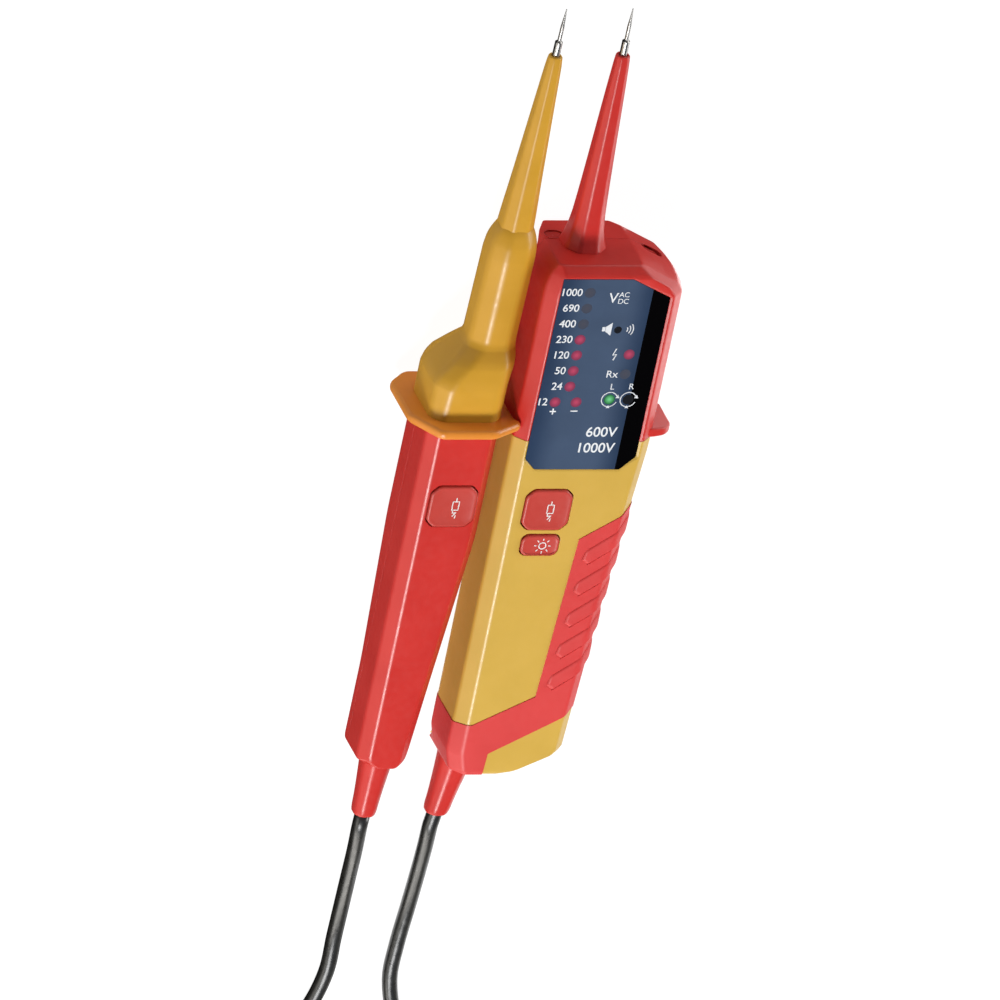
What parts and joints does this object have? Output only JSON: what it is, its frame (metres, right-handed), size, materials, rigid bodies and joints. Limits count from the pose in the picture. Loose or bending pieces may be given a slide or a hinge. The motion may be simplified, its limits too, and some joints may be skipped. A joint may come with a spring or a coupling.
{
  "type": "two-pole voltage tester",
  "caption": "Hand-held two-pole voltage tester: a main unit with a lamp display and a probe, a second probe handle docked beside it, and a cord joining the two.",
  "frame": {"origin": "on the flat back of the main unit, below its probe axis, at the hand guard plane", "axes": "+Y towards the probe tips, +X to the right across the front, +Z from the back to the front with the lamps"},
  "size_m": [0.0954, 0.4749, 0.0396],
  "materials": {
    "red_shell": "satin moulded red",
    "yellow_shell": "satin moulded yellow",
    "red_grip": "soft matt red",
    "red_button": "soft satin red",
    "window_dark": "glossy",
    "seal_black": "matt",
    "board_green": "matt",
    "lamp_red": "clear tinted",
    "lamp_green": "clear tinted",
    "black_part": "matt",
    "torch_lamp": "clear",
    "lens_dark_red": "clear tinted",
    "resistor_body": "lacquered",
    "battery_label": "plain sleeve",
    "steel": "bright",
    "probe_steel": "polished",
    "cord_black": "glossy black"
  },
  "bodies": {
    "main_unit": {"display_hood": "red_shell", "hood_back": "red_shell", "front_shell": "yellow_shell", "rear_shell": "yellow_shell", "grip_overlay": "red_grip", "display_window": "window_dark", "window_seal": "seal_black", "circuit_board": "board_green", "voltage_leds": "lamp_red", "status_leds": "lamp_green", "buzzer": "black_part", "load_switch": "black_part", "torch_switch": "black_part", "torch_leds": "torch_lamp", "torch_lenses": "lens_dark_red", "load_resistors": "resistor_body", "batteries": "battery_label", "battery_contacts": "steel", "housing_screws": "steel", "board_screws": "steel", "probe_sleeve": "red_shell", "probe_tip": "probe_steel", "strain_relief": "red_grip", "cord_run_unit": "cord_black", "cord_run_handle": "cord_black", "cord_coil": "cord_black"},
    "load_button": {"load_button": "red_button"},
    "torch_button": {"torch_button": "red_button"},
    "battery_door": {"battery_door": "yellow_shell"},
    "door_screw": {"door_screw": "steel"},
    "handle": {"handle_front_shell": "red_shell", "handle_rear_shell": "red_shell", "handle_collar": "yellow_shell", "handle_probe_sleeve": "yellow_shell", "handle_probe_tip": "probe_steel", "handle_switch": "black_part", "handle_board": "board_green", "handle_resistor": "resistor_body", "handle_screws": "steel", "handle_strain_relief": "red_grip"},
    "handle_button": {"handle_button": "red_button"}
  },
  "joints": [
    {"name": "load_button_press", "type": "slide", "parent": "main_unit", "child": "load_button", "axis": [0, 0, -1], "range_m": [0, 0.0008], "stiffness_N_per_m": 1500},
    {"name": "torch_button_press", "type": "slide", "parent": "main_unit", "child": "torch_button", "axis": [0, 0, -1], "range_m": [0, 0.0008], "stiffness_N_per_m": 1500},
    {"name": "battery_door_hinge", "type": "hinge", "parent": "main_unit", "child": "battery_door", "pos_m": [0.0062, -0.056, 0.0009], "axis": [1, 0, 0], "range_deg": [0, 80]},
    {"name": "door_screw_turn", "type": "hinge", "parent": "battery_door", "child": "door_screw", "pos_m": [0.0062, -0.1131, 0], "axis": [0, 0, 1], "continuous": true},
    {"name": "handle_undock", "type": "slide", "parent": "main_unit", "child": "handle", "axis": [-1, 0, 0], "range_m": [0, 0.04], "deforming": ["cord_run_handle"]},
    {"name": "handle_button_press", "type": "slide", "parent": "handle", "child": "handle_button", "axis": [0, 0, -1], "range_m": [0, 0.0008], "stiffness_N_per_m": 1500}
  ]
}
